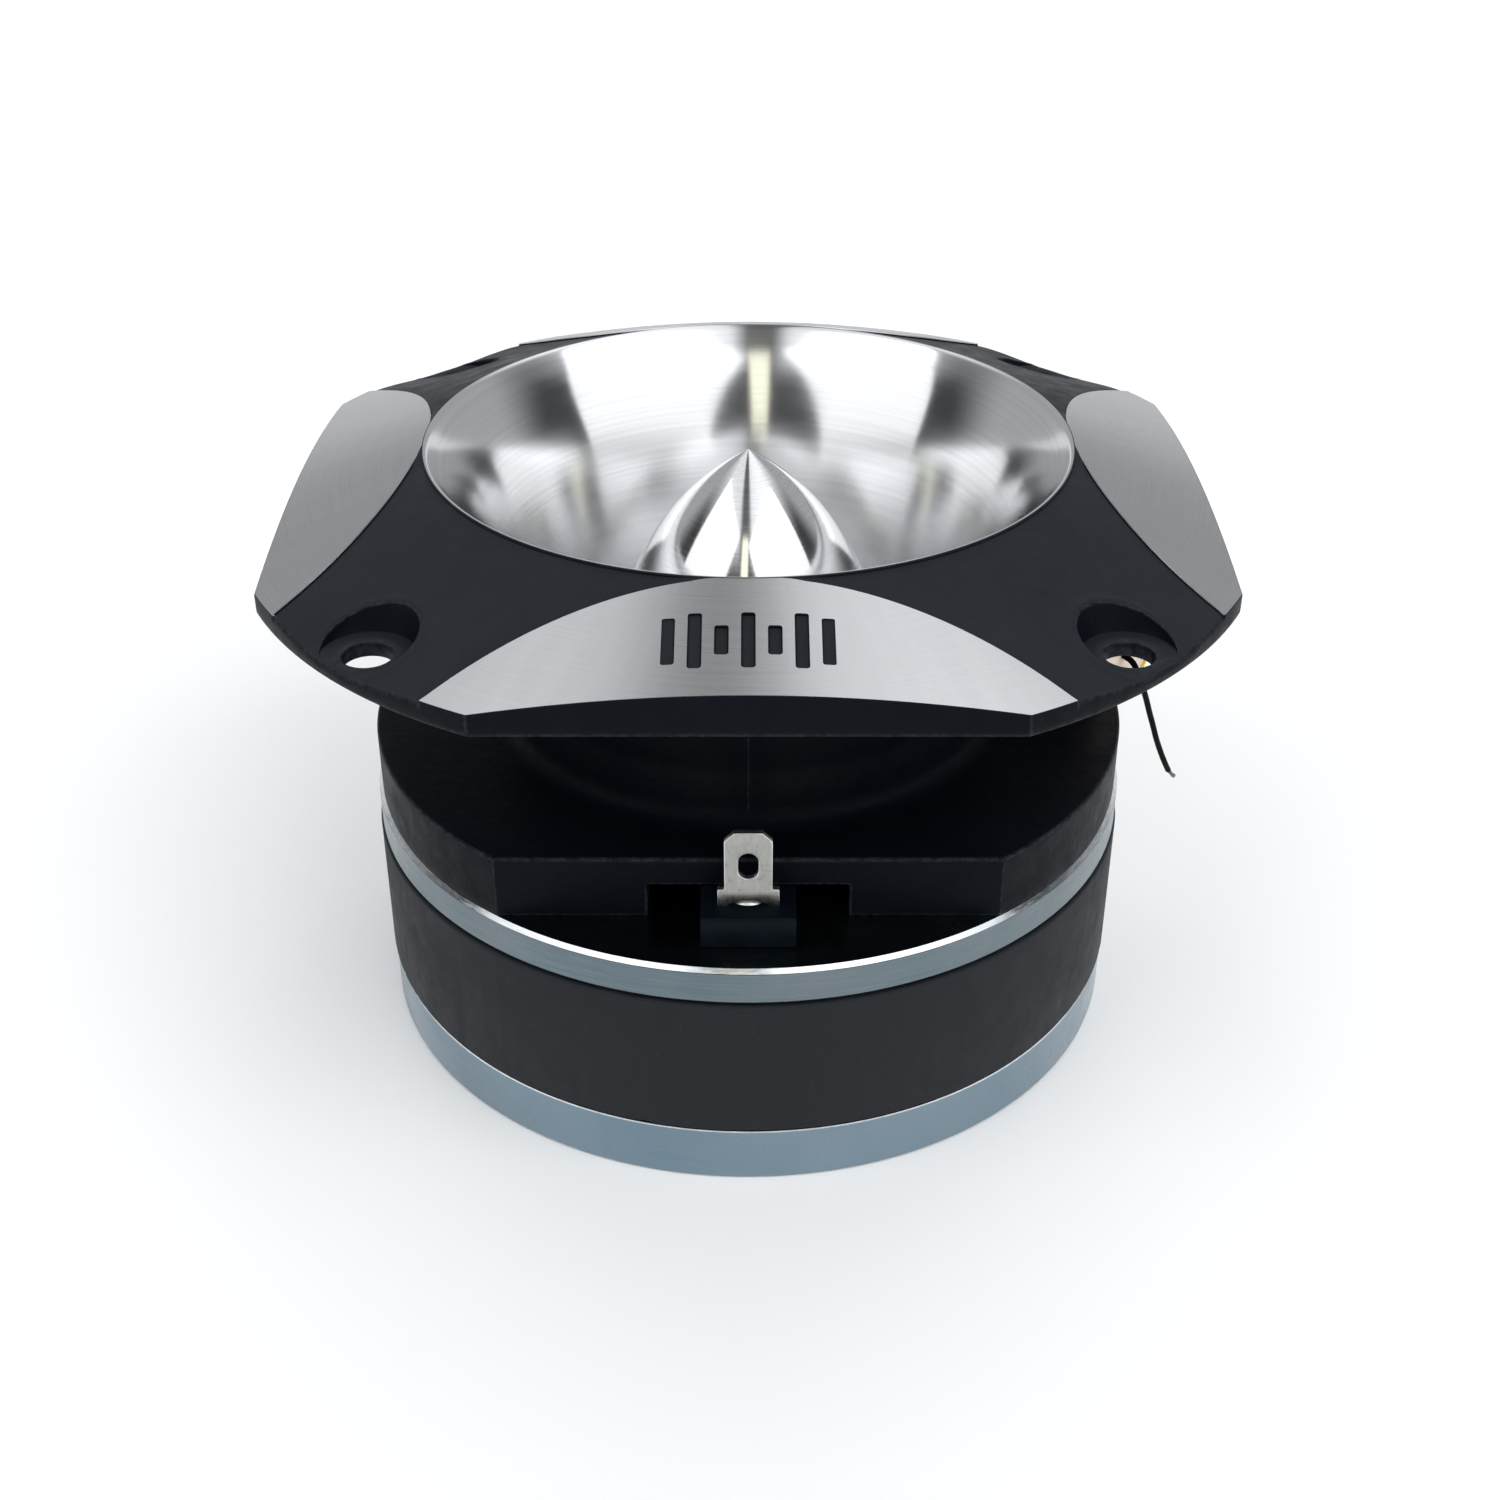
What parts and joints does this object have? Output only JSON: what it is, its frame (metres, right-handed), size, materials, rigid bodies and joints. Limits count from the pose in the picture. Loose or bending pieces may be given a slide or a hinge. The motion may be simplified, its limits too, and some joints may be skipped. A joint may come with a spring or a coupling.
{
  "type": "horn super tweeter",
  "caption": "Round-corner square flange super tweeter: polished horn with a bullet in its throat, over a ferrite ring magnet between steel plates.",
  "frame": {"origin": "centre of the back plate's rear face, which the part rests on", "axes": "+Z along the horn's axis, out of its mouth; -Y towards the front terminal; +X to the right as the front terminal is faced"},
  "size_m": [0.1018, 0.096, 0.0663],
  "materials": {
    "painted_casting": "satin black paint over fine cast texture; polished bowl and brushed turned faces",
    "polished_aluminium": "mirror-polished, turned",
    "blue_zinc_steel": "turned steel with blue zinc plating",
    "ferrite": null,
    "adhesive": "black epoxy",
    "black_plastic": "moulded glass-filled nylon",
    "titanium_foil": "thin rolled foil",
    "polyimide": "amber film",
    "copper": "enamelled copper",
    "zinc_screw": "zinc-plated",
    "tinned_brass": "tin-plated, lightly stained",
    "yellow_film": "polyester tape wrap",
    "end_resin": "potting resin",
    "solder": "dull tin solder",
    "lead_sleeve": "black insulation, bare at the tip"
  },
  "bodies": {
    "root": {"back_plate": "blue_zinc_steel", "rear_glue_ring": "adhesive", "magnet": "ferrite", "front_glue_ring": "adhesive", "top_plate": "blue_zinc_steel", "pole_piece": "blue_zinc_steel", "inner_clamp_ring": "black_plastic", "diaphragm_frame": "black_plastic", "diaphragm": "titanium_foil", "coil_lead_front": "copper", "coil_lead_rear": "copper", "horn_casting": "painted_casting", "horn_screws": "zinc_screw", "bullet": "polished_aluminium", "bullet_bolt": "zinc_screw", "bolt_washer": "zinc_screw", "front_tab": "tinned_brass", "rear_tab": "tinned_brass", "tab_rivets": "tinned_brass", "capacitor_body": "yellow_film", "capacitor_end_fill": "end_resin", "capacitor_solder_lead": "tinned_brass", "solder_joint": "solder", "capacitor_free_lead": "lead_sleeve"},
    "voice_coil": {"voice_coil_former": "polyimide", "voice_coil_winding": "copper"}
  },
  "joints": [
    {"name": "coil_travel", "type": "slide", "parent": "root", "child": "voice_coil", "axis": [0, 0, 1], "range_m": [-0.0003, 0.0003], "stiffness_N_per_m": 1500, "deforming": ["diaphragm", "coil_lead_front", "coil_lead_rear"]}
  ]
}
